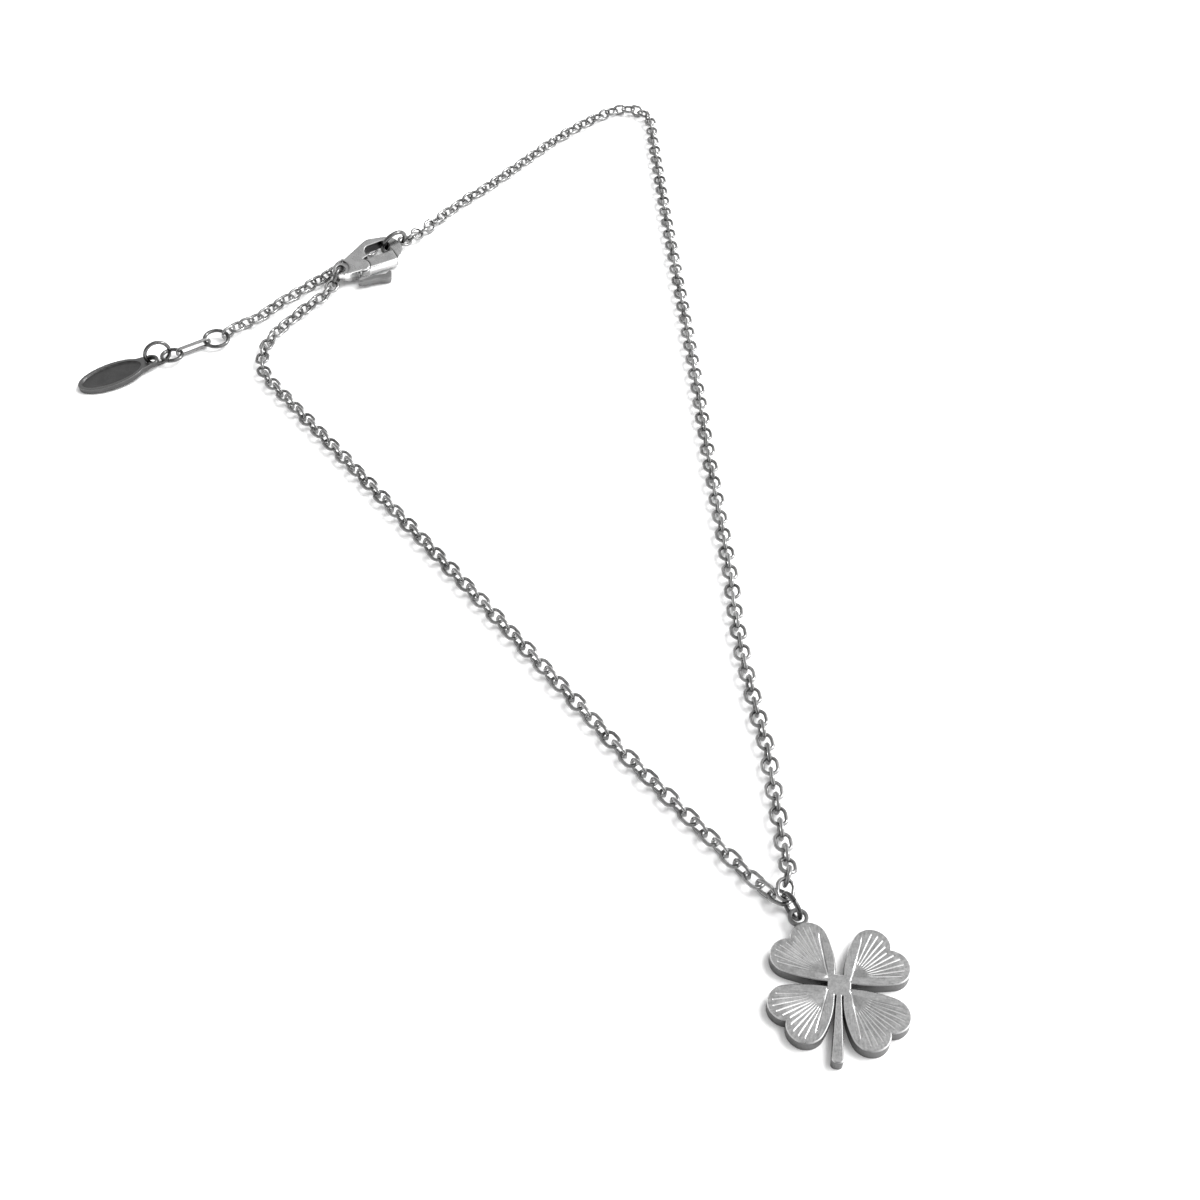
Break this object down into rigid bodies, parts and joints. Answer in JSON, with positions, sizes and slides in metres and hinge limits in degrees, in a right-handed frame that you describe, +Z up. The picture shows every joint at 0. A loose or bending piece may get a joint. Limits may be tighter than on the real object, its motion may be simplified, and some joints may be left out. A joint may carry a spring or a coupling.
{
  "type": "four leaf clover pendant on a chain necklace with a lobster clasp, extender and oval tag",
  "caption": "Four leaf clover pendant with dished, ray-engraved heart leaves, on a fine cable chain necklace closed by a lobster clasp, with an extender and an oval tag, laid in a loop.",
  "frame": {"origin": "middle of the laid necklace's outline, on the surface it lies on", "axes": "+Z up; -Y towards the pendant and the viewer; +Y towards the loop's far end; the tag at -X"},
  "size_m": [0.115, 0.2026, 0.0055],
  "materials": {
    "clover_metal": "satin with bright engraved rays",
    "chain_metal": "polished wire",
    "ring_metal": "polished wire",
    "clasp_metal": "satin",
    "tag_metal": "satin"
  },
  "bodies": {
    "necklace": {"clover": "clover_metal", "pendant_ring": "ring_metal", "chain_left": "chain_metal", "chain_right": "chain_metal", "clasp_body": "clasp_metal", "clasp_tail_ring": "ring_metal", "clasp_claw_ring": "ring_metal", "chain_extender": "chain_metal", "extender_ring_first": "ring_metal", "extender_link": "chain_metal", "extender_ring_second": "ring_metal", "tag_ring": "ring_metal", "tag": "tag_metal"},
    "lever": {"clasp_lever": "clasp_metal"}
  },
  "joints": [
    {"name": "lever_pivot", "type": "hinge", "parent": "necklace", "child": "lever", "pos_m": [-0.01631, 0.04229, 0.0021], "axis": [0.1962, -0.2802, 0.9397], "range_deg": [0, 12], "stiffness_Nm_per_rad": 0.004}
  ]
}
